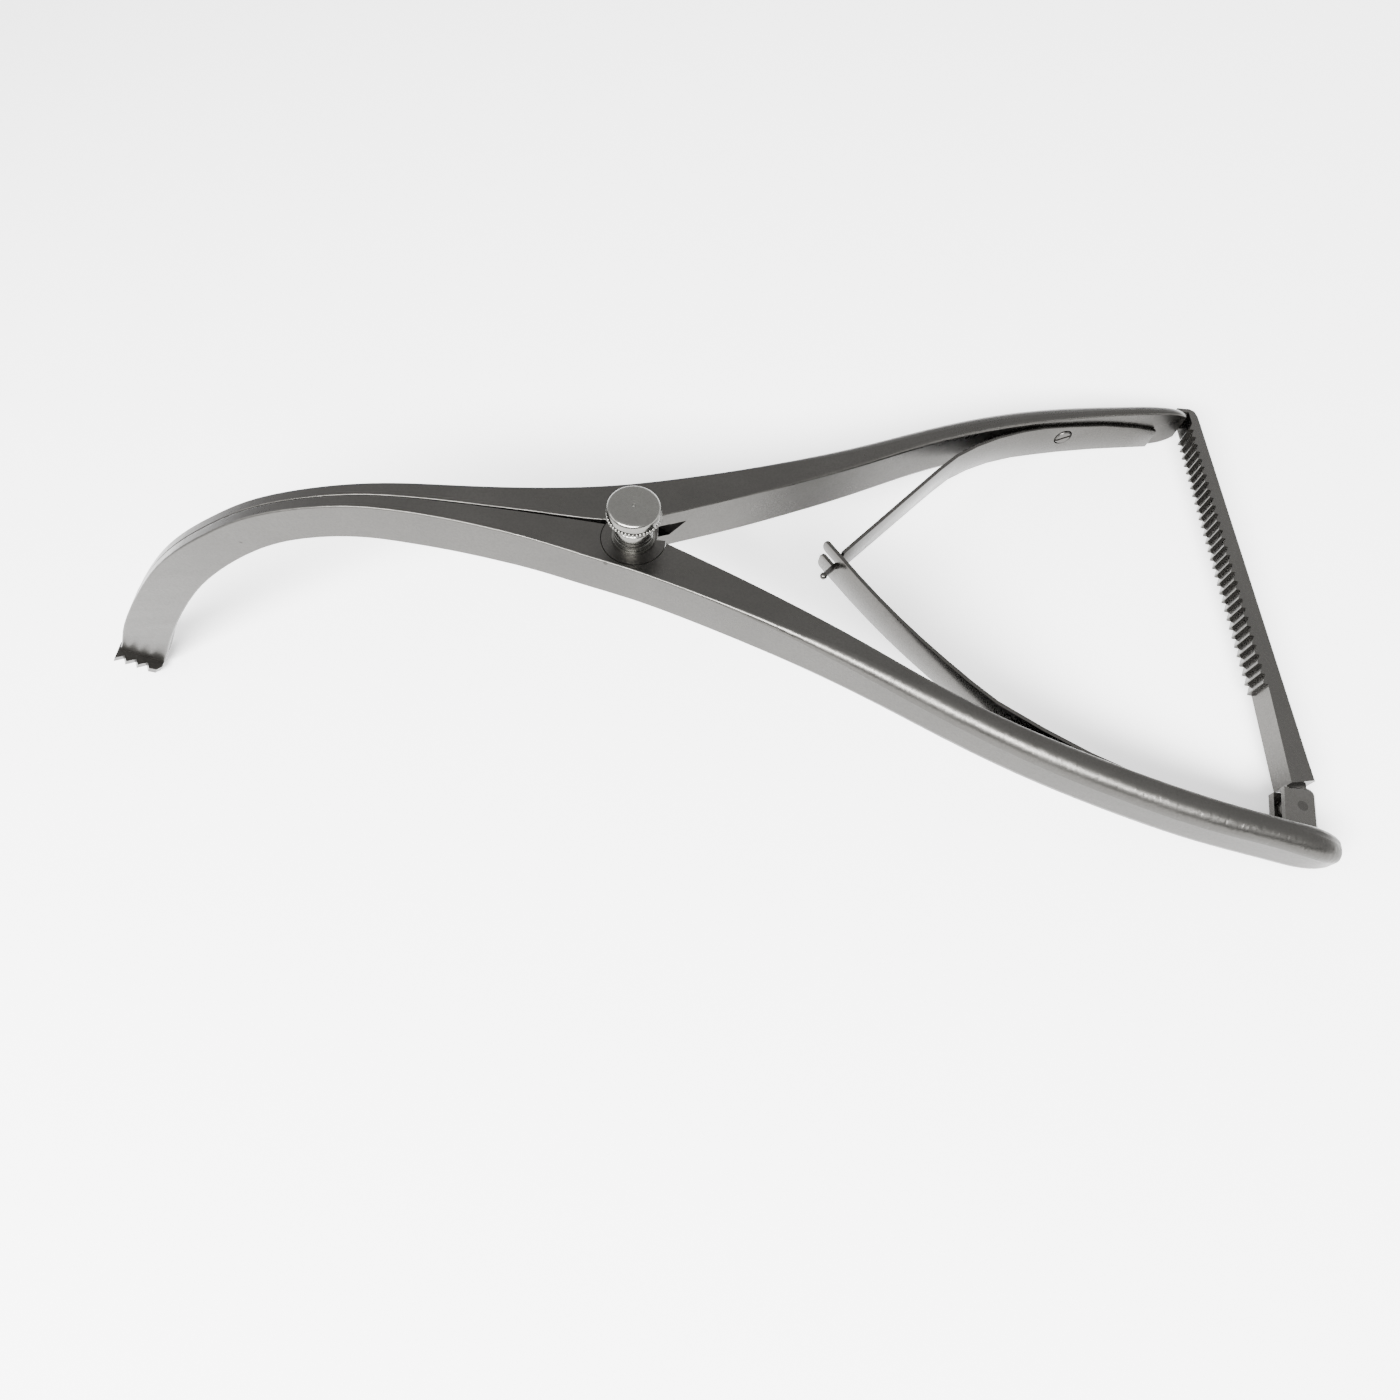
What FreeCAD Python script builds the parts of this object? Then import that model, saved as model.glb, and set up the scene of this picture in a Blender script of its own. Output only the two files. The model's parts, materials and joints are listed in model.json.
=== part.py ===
import FreeCAD, Part
import math
import os

# A ratcheted bone spreader: two arms on one pivot, leaf springs that push the handles apart,
# and a toothed bar that holds them. The model is drawn in the tool's own axes: X runs from the
# jaws (-X) to the handles (+X), Y is the way the arms open, Z is the pivot axis, z = 0 is the
# flat top of the arms, and x = y = 0 is the pivot. At the end it is laid down as it rests.

Vector = FreeCAD.Vector

# ---- driving dimensions, millimetres ----
ARM_HEIGHT = 10.0            # arm stock, along the pivot axis
PARTING_Y = 3.15             # plane where the closed arms meet
UNDERSIDE_Z = -9.9           # the handles are ground flat below
UNDERSIDE_START_X = -45.0

LAP_THIRD = 3.3              # each cheek of the lap, and its slot
LAP_CLEARANCE = 0.05
CHEEK_RADIUS = 6.1           # round end of the cheeks, about the pivot
POCKET_RADIUS = 6.25
TONGUE_RADIUS = 7.4
SLOT_RADIUS = 9.4
SLOT_RUN_OUT = 3.2             # the slot's far end slopes up over this length
CROTCH_X = 4.4               # the crotch between the two handles

FOOT_REACH = 2.8             # toothed foot, outwards from the blade
FOOT_THICKNESS = 2.2
FOOT_TOOTH_DEPTH = 1.4
FOOT_TEETH = 4
BLADE_HALF = 2.4             # thickness of one blade

SCREW_SHANK_RADIUS = 2.5
SCREW_SHANK_SHORT = 0.3      # the shank ends this far inside the underside
SCREW_HOLE_RADIUS = 2.54
SCREW_NECK_RADIUS = 3.3
SCREW_COLLAR_RADIUS = 3.75
SCREW_COLLAR_TOP = 4.3
SCREW_GROOVE_DEPTH = 0.3
SCREW_GROOVE_WIDTH = 0.35
SCREW_HEAD_RADIUS = 5.25
SCREW_HEAD_BOTTOM = 6.2
SCREW_HEAD_TOP = 9.9
SCREW_KNURLS = 44
SCREW_KNURL_DEPTH = 0.3
WASHER_THICKNESS = 0.7
WASHER_RADIUS = 4.1

SPRING_THICKNESS = 0.8
SPRING_Z = -5.0              # middle plane of the springs
SPRING_SCREW_X = 89.4
SPRING_SCREW_HEAD_RADIUS = 1.65
SPRING_SCREW_SHANK_RADIUS = 1.1
SPRING_SCREW_DEPTH = 2.6
SPRING_SLOT_WIDTH = 2.2
SPRING_TONGUE_WIDTH = 1.6
SPRING_TONGUE_REACH = 3.9
SPRING_TONGUE_BALL = 0.75
SPRING_PRONG_REACH = 2.8

BAR_TOP_Z = -2.5
BAR_BOTTOM_Z = -7.5
BAR_PITCH = 2.1
BAR_TEETH = 31
BAR_TOOTH_DEPTH = 0.85
BAR_FIRST_TOOTH_Y = 46.4
HINGE_X = 121.4
HINGE_Y = -41.0
HINGE_HUB_RADIUS = 2.3
HINGE_PIN_RADIUS = 0.9
HINGE_HOLE_RADIUS = 0.94
CLEVIS_EAR = 1.45            # thickness of one ear
CLEVIS_GAP_HALF = 1.0
CLEVIS_CORNER = 1.6
CLEVIS_CHAMFER = 0.5
BAR_CHAMFER = 0.5
CLEVIS_Z = -4.7              # middle plane of the bar and clevis

# Stations of the arms: x, z of the top line, its pitch in degrees, height of the section,
# inner face, outer edge of the flat top, and outer rounding; the last three are distances
# from the parting plane.
JAW_STATIONS = [
    (-129.4, -69.2, 59.2, 10.3, 0.05, 2.1, 0.35),
    (-123.9, -60.0, 58.8, 10.2, 0.05, 2.1, 0.35),
    (-117.4, -49.2, 56.8, 10.0, 0.05, 2.1, 0.35),
    (-109.9, -38.6, 53.0, 9.6, 0.05, 2.1, 0.35),
    (-101.8, -28.5, 48.0, 9.3, 0.05, 2.1, 0.35),
    (-93.2, -20.1, 42.0, 8.9, 0.05, 2.1, 0.35),
    (-84.5, -13.3, 36.5, 8.5, 0.05, 2.05, 0.35),
    (-76.3, -7.9, 29.5, 8.5, 0.05, 2.05, 0.35),
    (-68.0, -4.0, 21.0, 8.7, 0.05, 2.1, 0.35),
    (-60.0, -1.3, 15.0, 9.1, 0.05, 2.25, 0.35),
    (-52.0, 0.5, 8.5, 9.7, 0.05, 2.55, 0.35),
    (-44.0, 1.25, 2.0, 10.1, 0.05, 3.05, 0.35),
    (-36.0, 1.3, -1.5, 10.2, 0.08, 3.65, 0.35),
    (-28.0, 1.05, -2.0, 10.2, 0.12, 4.5, 0.35),
    (-18.0, 0.6, -2.5, 10.1, 0.2, 6.0, 0.35),
    (-8.0, 0.05, -1.5, 10.0, 0.35, 8.1, 0.35),
    (0.0, 0.0, 0.0, 10.0, 1.3, 10.0, 0.35),
    (8.0, 0.0, 0.0, 10.0, 4.2, 12.3, 0.4),
    (18.0, 0.0, 0.0, 10.0, 8.5, 15.45, 0.6),
]
LOWER_HANDLE_STATIONS = [
    (30.0, 0.0, 0.0, 10.0, 13.95, 19.35, 1.3),
    (44.0, 0.0, 0.0, 10.0, 20.9, 24.5, 2.3),
    (58.0, 0.0, 0.0, 10.0, 28.4, 30.75, 2.85),
    (74.0, 0.0, 0.0, 10.0, 35.5, 37.6, 3.05),
    (90.0, 0.0, 0.0, 10.0, 41.0, 43.1, 3.1),
    (106.0, 0.0, 0.0, 10.0, 45.4, 47.4, 3.05),
    (118.0, -0.05, 0.0, 9.9, 47.85, 49.7, 3.0),
    (123.4, -0.75, 0.0, 8.8, 48.7, 50.6, 3.0),
    (126.5, -2.2, 0.0, 6.0, 49.6, 51.2, 2.2),
]
UPPER_HANDLE_STATIONS = [
    (30.0, 0.0, 0.0, 10.0, 14.05, 19.5, 1.3),
    (44.0, 0.0, 0.0, 10.0, 21.1, 24.85, 2.3),
    (58.0, 0.0, 0.0, 10.0, 28.7, 31.2, 2.8),
    (74.0, 0.0, 0.0, 10.0, 35.6, 37.5, 3.0),
    (88.0, 0.0, 0.0, 10.0, 39.85, 41.4, 2.8),
    (101.0, 0.0, 0.0, 10.0, 42.85, 44.0, 2.35),
    (110.5, -0.1, 0.0, 9.85, 44.6, 45.55, 1.95),
    (115.0, -0.95, 0.0, 8.3, 45.6, 46.3, 1.55),
    (117.0, -2.2, 0.0, 6.0, 46.3, 46.9, 1.2),
]
INNER_ROUND_START_X = 20.0   # the handles' inner edges are rounded more from here on
INNER_ROUND_FULL_X = 55.0
INNER_ROUND = 1.0


def extrude_face(wire, vector):
    return Part.Face(wire).extrude(vector)


def polygon_prism(points, vector):
    corners = [Vector(*p) for p in points]
    return extrude_face(Part.makePolygon(corners + corners[:1]), vector)


def cylinder(radius, z_low, z_high, x=0.0, y=0.0):
    return Part.makeCylinder(radius, z_high - z_low, Vector(x, y, z_low))


def arc(a, b, c):
    return Part.Arc(a, b, c).toShape()


def line(a, b):
    return Part.makeLine(a, b)


def grind_underside(arm):
    below = Part.makeBox(200, 200, 10, Vector(UNDERSIDE_START_X, -100, UNDERSIDE_Z - 10))
    return arm.cut(below)


# ---- arms ----
def arm_section(station, side):
    """Closed outline of an arm at one station; side is +1 for the upper arm, -1 for the lower."""
    x, z, pitch, height, inner, flat, bulge = station
    down = Vector(math.sin(math.radians(pitch)), 0, -math.cos(math.radians(pitch)))
    blend = (x - INNER_ROUND_START_X) / (INNER_ROUND_FULL_X - INNER_ROUND_START_X)
    soft = 0.25 + (INNER_ROUND - 0.25) * min(1.0, max(0.0, blend))
    soft = min(soft, 0.5 * (flat - inner))
    low_bulge = 0.67 * bulge if bulge > 0.5 else bulge
    outer = flat + bulge
    corner = 1.0 - math.sqrt(0.5)

    def at(offset, depth):
        return Vector(x, PARTING_Y + side * offset, z) + down * depth

    points = [at(inner, height - soft), at(inner, soft)]
    points += [at(inner + corner * soft, corner * soft), at(inner + soft, 0)]
    points += [at(flat, 0), at(outer - corner * bulge, corner * bulge), at(outer, bulge)]
    points += [at(outer, height - low_bulge)]
    points += [at(outer - corner * low_bulge, height - corner * low_bulge)]
    points += [at(outer - low_bulge, height), at(inner + soft, height)]
    points += [at(inner + corner * soft, height - corner * soft)]
    edges = [
        line(points[0], points[1]),
        arc(points[1], points[2], points[3]),
        line(points[3], points[4]),
        arc(points[4], points[5], points[6]),
        line(points[6], points[7]),
        arc(points[7], points[8], points[9]),
        line(points[9], points[10]),
        arc(points[10], points[11], points[0]),
    ]
    return Part.Wire(edges)


def jaw_foot(side):
    """Toothed foot at the end of a blade, turned outwards."""
    x, z, pitch, width, inner, flat, bulge = JAW_STATIONS[0]
    angle = math.radians(pitch)
    along = Vector(-math.cos(angle), 0, -math.sin(angle))
    across = Vector(math.sin(angle), 0, -math.cos(angle))
    corner = Vector(x, PARTING_Y, z) - along * FOOT_THICKNESS
    tooth = width / FOOT_TEETH
    root = BLADE_HALF + FOOT_REACH - FOOT_TOOTH_DEPTH
    outline = [(0, 0.6), (0, BLADE_HALF + FOOT_REACH)]
    for index in range(FOOT_TEETH):
        valley = (index + 0.72) * tooth
        outline.append((valley, root))
        if index < FOOT_TEETH - 1:
            outline.append(((index + 1) * tooth, BLADE_HALF + FOOT_REACH))
    outline[-1] = (width - 0.9, BLADE_HALF + FOOT_REACH - 0.2)
    outline += [(width, root), (width, 0.6)]
    points = [corner + across * a + Vector(0, side * b, 0) for a, b in outline]
    return extrude_face(Part.makePolygon(points + points[:1]), along * FOOT_THICKNESS)


def arm_body(side):
    handle = UPPER_HANDLE_STATIONS if side > 0 else LOWER_HANDLE_STATIONS
    wires = [arm_section(s, side) for s in JAW_STATIONS + handle]
    return Part.makeLoft(wires, True, False).fuse(jaw_foot(side))


def cheek_outline():
    """Plan of one cheek: round about the pivot, open on the crotch side."""
    low = 0.1
    start = Vector(math.sqrt(CHEEK_RADIUS ** 2 - low ** 2), low, 0)
    left = Vector(-math.sqrt(CHEEK_RADIUS ** 2 - PARTING_Y ** 2), PARTING_Y, 0)
    top = PARTING_Y + 3.0
    edges = [
        arc(start, Vector(0, -CHEEK_RADIUS, 0), left),
        line(left, Vector(left.x, top, 0)),
        line(Vector(left.x, top, 0), Vector(CROTCH_X, top, 0)),
        line(Vector(CROTCH_X, top, 0), Vector(CROTCH_X, low, 0)),
        line(Vector(CROTCH_X, low, 0), start),
    ]
    return Part.Wire(edges)


def tongue():
    """Middle third of the lower arm, which the upper arm's slot takes in."""
    disc = cylinder(TONGUE_RADIUS, -2 * LAP_THIRD + LAP_CLEARANCE, -LAP_THIRD - LAP_CLEARANCE)
    crotch = Part.makeBox(20, 20, ARM_HEIGHT * 2, Vector(CROTCH_X, 0.1, -ARM_HEIGHT * 1.5))
    outside = Part.makeBox(20, 20, ARM_HEIGHT * 2, Vector(-10, -25, -ARM_HEIGHT * 1.5))
    return disc.cut(crotch).cut(outside)


def make_lower_arm():
    arm = arm_body(-1).cut(spring_screw_hole(-1))
    pocket_top = cylinder(POCKET_RADIUS, -LAP_THIRD - LAP_CLEARANCE, 2)
    pocket_bottom = cylinder(POCKET_RADIUS, -ARM_HEIGHT - 2, -2 * LAP_THIRD + LAP_CLEARANCE)
    arm = arm.cut(pocket_top).cut(pocket_bottom).fuse(tongue())
    arm = arm.cut(cylinder(SCREW_HOLE_RADIUS, -ARM_HEIGHT, 0))
    arm = arm.cut(make_ratchet_clevis(False)).cut(make_ratchet_spring())
    arm = grind_underside(arm.cut(ratchet_spring_screw_hole()))
    return arm.removeSplitter()


def make_upper_arm():
    arm = arm_body(1).cut(spring_screw_hole(1))
    cheek = Part.Face(cheek_outline())
    top = cheek.extrude(Vector(0, 0, -LAP_THIRD))
    bottom = cheek.extrude(Vector(0, 0, ARM_HEIGHT - 2 * LAP_THIRD))
    bottom.translate(Vector(0, 0, -ARM_HEIGHT))
    arm = arm.fuse(top).fuse(bottom)
    arm = arm.cut(cylinder(SLOT_RADIUS, -2 * LAP_THIRD, -LAP_THIRD))
    run_out = Part.makeCone(
        SLOT_RADIUS, SLOT_RADIUS + SLOT_RUN_OUT, LAP_THIRD - 0.2, Vector(0, 0, -2 * LAP_THIRD + 0.1)
    )
    arm = arm.cut(run_out)
    arm = grind_underside(arm.cut(cylinder(SCREW_HOLE_RADIUS, -ARM_HEIGHT - 1, 1)))
    return arm.removeSplitter()


# ---- thumbscrew of the pivot ----
def make_pivot_screw():
    shank = cylinder(SCREW_SHANK_RADIUS, UNDERSIDE_Z + SCREW_SHANK_SHORT, 2.0)
    collar = cylinder(SCREW_COLLAR_RADIUS, WASHER_THICKNESS + 0.05, SCREW_COLLAR_TOP)
    for groove_z in (1.6, 2.7):
        groove_top = groove_z + SCREW_GROOVE_WIDTH
        groove = cylinder(SCREW_COLLAR_RADIUS + 1, groove_z, groove_top)
        core = cylinder(SCREW_COLLAR_RADIUS - SCREW_GROOVE_DEPTH, groove_z, groove_top)
        collar = collar.cut(groove.cut(core))
    neck = cylinder(SCREW_NECK_RADIUS, SCREW_COLLAR_TOP, SCREW_HEAD_BOTTOM)
    cone = Part.makeCone(
        SCREW_NECK_RADIUS, SCREW_HEAD_RADIUS - 0.8, 0.9, Vector(0, 0, SCREW_HEAD_BOTTOM - 0.9)
    )
    band_top = SCREW_HEAD_TOP - 1.9
    band = cylinder(SCREW_HEAD_RADIUS, SCREW_HEAD_BOTTOM, band_top)
    crown = Part.makeCone(
        SCREW_HEAD_RADIUS - 0.1, SCREW_HEAD_RADIUS - 0.6, 1.9, Vector(0, 0, band_top)
    )
    head = band.fuse(crown)
    knurl = cylinder(SCREW_KNURL_DEPTH, SCREW_HEAD_BOTTOM - 0.5, SCREW_HEAD_TOP + 0.5)
    cutters = []
    for index in range(SCREW_KNURLS):
        turned = knurl.copy()
        angle = 2 * math.pi * index / SCREW_KNURLS
        reach = SCREW_HEAD_RADIUS + 0.05
        turned.translate(Vector(reach * math.cos(angle), reach * math.sin(angle), 0))
        cutters.append(turned)
    head = head.cut(Part.makeCompound(cutters))
    return shank.fuse([collar, neck, cone, head]).removeSplitter()


def make_pivot_washer():
    ring = cylinder(WASHER_RADIUS, 0.02, WASHER_THICKNESS)
    return ring.cut(cylinder(SCREW_HOLE_RADIUS, -1, WASHER_THICKNESS + 1))


# ---- leaf springs ----
def handle_line(side):
    """Points close together along the inner face of a handle, in plan."""
    stations = UPPER_HANDLE_STATIONS if side > 0 else LOWER_HANDLE_STATIONS
    curve = Part.BSplineCurve()
    curve.interpolate([Vector(s[0], PARTING_Y + side * s[4], 0) for s in stations])
    return curve.discretize(300)


def inner_face_at(x, side):
    points = handle_line(side)
    for a, b in zip(points, points[1:]):
        if a.x <= x <= b.x:
            return a + (b - a) * ((x - a.x) / (b.x - a.x))
    raise ValueError("no inner face at x = " + str(x))


UPPER_SPRING_LINE = [(38.9, 2.0), (46.6, 11.0), (56.0, 22.0), (64.2, 31.1), (73.5, 37.2), (84.0, 41.6)]
LOWER_SPRING_LINE = [(36.6, 5.3), (43.0, -2.6), (50.3, -10.9), (58.5, -18.9), (68.0, -26.9), (84.0, -35.5)]


def spring_strip(points, side):
    """A strip that follows the points on its handle side, as tall as the arm."""
    handle_side = Part.BSplineCurve()
    handle_side.interpolate([Vector(p[0], p[1], 0) for p in points])
    first, last = handle_side.FirstParameter, handle_side.LastParameter
    inner_points = []
    count = 24
    for index in range(count + 1):
        place = first + (last - first) * index / count
        tangent = handle_side.tangent(place)[0]
        normal = Vector(-tangent.y, tangent.x, 0) * (-side)
        inner_points.append(handle_side.value(place) + normal * SPRING_THICKNESS)
    inner_side = Part.BSplineCurve()
    inner_side.interpolate(inner_points)
    edges = [
        handle_side.toShape(),
        line(handle_side.value(last), inner_points[-1]),
        inner_side.toShape(),
        line(inner_points[0], handle_side.value(first)),
    ]
    strip = Part.Face(Part.Wire(Part.__sortEdges__(edges)))
    strip.translate(Vector(0, 0, -ARM_HEIGHT))
    return strip.extrude(Vector(0, 0, ARM_HEIGHT))


def make_leaf(points, side):
    root_x = 111.0
    path = points + [tuple(inner_face_at(x, side))[:2] for x in (92.0, 100.0, root_x)]
    path = [(p[0], p[1] - side * 0.03) for p in path]
    strip = spring_strip(path, side)
    x_end = points[0][0] - 2
    half = 3.1 if side > 0 else 3.4
    corners = [
        Vector(x_end, 0, SPRING_Z + half),
        Vector(70, 0, -1.7),
        Vector(84, 0, -1.7),
        Vector(99, 0, -2.5),
        Vector(root_x, 0, -4.6),
        Vector(root_x, 0, -ARM_HEIGHT + 0.4),
        Vector(84, 0, -ARM_HEIGHT + 0.1),
        Vector(70, 0, -ARM_HEIGHT + 0.8),
        Vector(x_end, 0, SPRING_Z - half),
    ]
    edges = [line(corners[0], corners[1]), line(corners[1], corners[2])]
    edges.append(arc(corners[2], corners[3], corners[4]))
    edges += [line(a, b) for a, b in zip(corners[4:], corners[5:] + corners[:1])]
    blank = Part.Face(Part.Wire(edges))
    blank.translate(Vector(0, -100, 0))
    leaf = strip.common(blank.extrude(Vector(0, 200, 0)))
    return leaf.cut(arm_body(side)).cut(spring_counterbore(side))


def spring_screw_frame(side):
    """Foot of the screw on the handle's inner face, and the way the screw points."""
    here = inner_face_at(SPRING_SCREW_X, side)
    ahead = inner_face_at(SPRING_SCREW_X + 5, side)
    tangent = (ahead - here).normalize()
    into = Vector(-tangent.y, tangent.x, 0) * side
    return here + Vector(0, 0, SPRING_Z), into


def screw_cylinder(side, radius, start, end):
    foot, into = spring_screw_frame(side)
    return Part.makeCylinder(radius, end - start, foot + into * start, into)


def spring_screw_hole(side):
    return screw_cylinder(side, SPRING_SCREW_SHANK_RADIUS + 0.03, -1, SPRING_SCREW_DEPTH + 0.1)


def spring_counterbore(side):
    wide = screw_cylinder(side, SPRING_SCREW_HEAD_RADIUS + 0.25, -3, -0.5)
    return wide.fuse(screw_cylinder(side, SPRING_SCREW_SHANK_RADIUS + 0.05, -2, 1))


def make_spring_screw(side):
    head = screw_cylinder(side, SPRING_SCREW_HEAD_RADIUS, -1.15, -0.52)
    rim = head.Edges
    head = head.makeChamfer(0.2, rim)
    shank = screw_cylinder(side, SPRING_SCREW_SHANK_RADIUS, -0.6, SPRING_SCREW_DEPTH)
    foot, into = spring_screw_frame(side)
    slot = Part.makeBox(6, 0.5, 0.5, Vector(-3, -0.25, 0))
    slot.rotate(Vector(0, 0, 0), Vector(0, 0, 1), 35)
    turn = FreeCAD.Rotation(Vector(0, 0, -1), into)
    slot.Placement = FreeCAD.Placement(foot - into * 1.2, turn).multiply(slot.Placement)
    slot.translate(into * 0.35)
    return head.fuse(shank).cut(slot)


def spring_crossing():
    """Where the two leaves cross, and the ways they run there, away from their handles."""
    upper_way = (Vector(*UPPER_SPRING_LINE[0], 0) - Vector(*UPPER_SPRING_LINE[1], 0)).normalize()
    lower_way = (Vector(*LOWER_SPRING_LINE[0], 0) - Vector(*LOWER_SPRING_LINE[1], 0)).normalize()
    gap = Vector(*LOWER_SPRING_LINE[1], 0) - Vector(*UPPER_SPRING_LINE[1], 0)
    cross = upper_way.x * lower_way.y - upper_way.y * lower_way.x
    reach = (gap.x * lower_way.y - gap.y * lower_way.x) / cross
    return Vector(*UPPER_SPRING_LINE[1], 0) + upper_way * reach, upper_way, lower_way


def block(origin, way, ahead, behind, half_side, z_low, z_high):
    """A box along one way in plan, from behind the origin to ahead of it."""
    box = Part.makeBox(
        ahead + behind, 2 * half_side, z_high - z_low, Vector(-behind, -half_side, z_low)
    )
    angle = math.degrees(math.atan2(way.y, way.x))
    box.rotate(Vector(0, 0, 0), Vector(0, 0, 1), angle)
    box.translate(Vector(origin.x, origin.y, 0))
    return box


def make_lower_spring():
    leaf = make_leaf(LOWER_SPRING_LINE, -1)
    crossing, upper_way, lower_way = spring_crossing()
    half = SPRING_SLOT_WIDTH / 2
    slot = block(crossing, lower_way, 15, 1.4, 3, SPRING_Z - half, SPRING_Z + half)
    ends = block(crossing, lower_way, 15, -SPRING_PRONG_REACH, 5, -ARM_HEIGHT - 1, 1)
    return leaf.cut(slot).cut(ends)


def make_upper_spring():
    leaf = make_leaf(UPPER_SPRING_LINE, 1)
    crossing, upper_way, lower_way = spring_crossing()
    beyond = block(crossing, upper_way, 15, 1.7, 5, -ARM_HEIGHT - 1, 1)
    leaf = leaf.cut(beyond)
    half = SPRING_TONGUE_WIDTH / 2
    side_step = Vector(upper_way.y, -upper_way.x, 0) * (-SPRING_THICKNESS / 2)
    middle = crossing + side_step
    reach = SPRING_TONGUE_REACH
    thick = SPRING_THICKNESS / 2
    tongue = block(middle, upper_way, reach, 1.9, thick, SPRING_Z - half, SPRING_Z + half)
    ball = Part.makeSphere(SPRING_TONGUE_BALL, middle + upper_way * reach + Vector(0, 0, SPRING_Z))
    return leaf.fuse(tongue).fuse(ball)


# ---- ratchet bar and its hinge ----
def edges_at_height(shape, z, x_above=0.0):
    """Edges that lie in a level plane, and beyond a given x."""
    found = []
    for edge in shape.Edges:
        if all(abs(v.Z - z) < 0.001 and v.X > x_above for v in edge.Vertexes):
            found.append(edge)
    return found


def bar_face_x(y):
    """Line of the tooth tips."""
    return 117.25 + (50.0 - y) * 0.0398


def bar_back_x(y):
    return 120.4 + (50.0 - y) * 0.0590


def make_ratchet_bar():
    hub = Vector(HINGE_X, HINGE_Y, 0)
    top_y = 52.5
    rest_top = 51.45
    outline = [(bar_face_x(top_y) - 1.6, top_y - 0.1), (bar_face_x(top_y) - 1.7, rest_top + 0.1)]
    outline.append((bar_face_x(rest_top) + BAR_TOOTH_DEPTH, rest_top))
    root_y = BAR_FIRST_TOOTH_Y + BAR_PITCH - 0.4
    outline.append((bar_face_x(root_y) + BAR_TOOTH_DEPTH, root_y))
    for index in range(BAR_TEETH):
        tip_y = BAR_FIRST_TOOTH_Y - index * BAR_PITCH
        outline.append((bar_face_x(tip_y), tip_y + 0.25))
        outline.append((bar_face_x(tip_y), tip_y))
        outline.append((bar_face_x(tip_y) + BAR_TOOTH_DEPTH, tip_y - 0.1))
    last_y = BAR_FIRST_TOOTH_Y - BAR_TEETH * BAR_PITCH
    outline.append((bar_face_x(last_y) + 0.75, last_y))
    shoulder_y = -35.4
    outline.append((120.6, shoulder_y - 1.2))
    outline.append((125.5, shoulder_y - 0.3))
    outline.append((bar_back_x(-32.0), -32.0))
    outline.append((bar_back_x(48.5), 48.5))
    outline.append((119.4, 51.9))
    outline.append((118.4, top_y))
    points = [Vector(x, y, BAR_BOTTOM_Z) for x, y in outline]
    body = extrude_face(Part.makePolygon(points + points[:1]), Vector(0, 0, BAR_TOP_Z - BAR_BOTTOM_Z))
    back_edges = [
        edge for edge in edges_at_height(body, BAR_TOP_Z, HINGE_X - 1.2)
        if min(v.Y for v in edge.Vertexes) < 40 and edge.Length > 40
    ]
    body = body.makeChamfer(BAR_CHAMFER, back_edges)
    half = CLEVIS_GAP_HALF - 0.08
    low, high = CLEVIS_Z - half, CLEVIS_Z + half
    hub_disc = cylinder(HINGE_HUB_RADIUS, low, high, hub.x, hub.y)
    web = polygon_prism(
        [
            (HINGE_X - 1.7, HINGE_Y, low),
            (HINGE_X + HINGE_HUB_RADIUS - 0.05, HINGE_Y, low),
            (HINGE_X + 3.0, shoulder_y + 1.0, low),
            (HINGE_X - 0.4, shoulder_y + 1.0, low),
        ],
        Vector(0, 0, high - low),
    )
    bar = body.fuse([hub_disc, web])
    return bar.cut(cylinder(HINGE_HOLE_RADIUS, -ARM_HEIGHT, 0, hub.x, hub.y)).removeSplitter()


def make_ratchet_clevis(pierced=True):
    """Two ears that lean with the handle, let into its inner face; solid when not pierced."""
    z_low = CLEVIS_Z - CLEVIS_GAP_HALF - CLEVIS_EAR
    height = 2 * (CLEVIS_GAP_HALF + CLEVIS_EAR)
    foot_left, foot_right = Vector(117.75, -45.5, z_low), Vector(123.2, -46.4, z_low)
    top_left, top_right = Vector(119.2, -37.35, z_low), Vector(124.7, -37.35, z_low)
    before = top_right + (foot_right - top_right).normalize() * CLEVIS_CORNER
    after = top_right - Vector(CLEVIS_CORNER, 0, 0)
    middle = top_right + (before + after - top_right * 2) * 0.3
    edges = [
        line(foot_left, foot_right),
        line(foot_right, before),
        arc(before, middle, after),
        line(after, top_left),
        line(top_left, foot_left),
    ]
    clevis = extrude_face(Part.Wire(edges), Vector(0, 0, height))
    clevis = clevis.makeChamfer(CLEVIS_CHAMFER, edges_at_height(clevis, z_low + height))
    if not pierced:
        return clevis
    gap_bottom = HINGE_Y - HINGE_HUB_RADIUS - 0.15
    gap = Part.makeBox(
        20, 20, 2 * CLEVIS_GAP_HALF, Vector(HINGE_X - 10, gap_bottom, CLEVIS_Z - CLEVIS_GAP_HALF)
    )
    pin_hole = cylinder(HINGE_PIN_RADIUS + 0.01, z_low - 1, z_low + height + 1, HINGE_X, HINGE_Y)
    return clevis.cut(gap).cut(pin_hole)


def make_ratchet_hinge_pin():
    reach = CLEVIS_GAP_HALF + CLEVIS_EAR
    return cylinder(HINGE_PIN_RADIUS, CLEVIS_Z - reach, CLEVIS_Z + reach, HINGE_X, HINGE_Y)


RATCHET_SPRING_HALF = 0.95
RATCHET_SPRING_FOOT = (125.5, -45.55)


def make_ratchet_spring():
    """Small leaf let into the handle, that bears on the hub of the bar."""
    outline = [(2.4, -0.9), (2.75, -0.75), (2.95, -1.0), (3.0, -4.15), (4.85, -4.45)]
    outline += [(4.75, -5.0), (2.3, -4.65)]
    points = [(HINGE_X + x, HINGE_Y + y, CLEVIS_Z - RATCHET_SPRING_HALF) for x, y in outline]
    leaf = polygon_prism(points, Vector(0, 0, 2 * RATCHET_SPRING_HALF))
    return leaf.cut(ratchet_spring_screw_hole())


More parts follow.
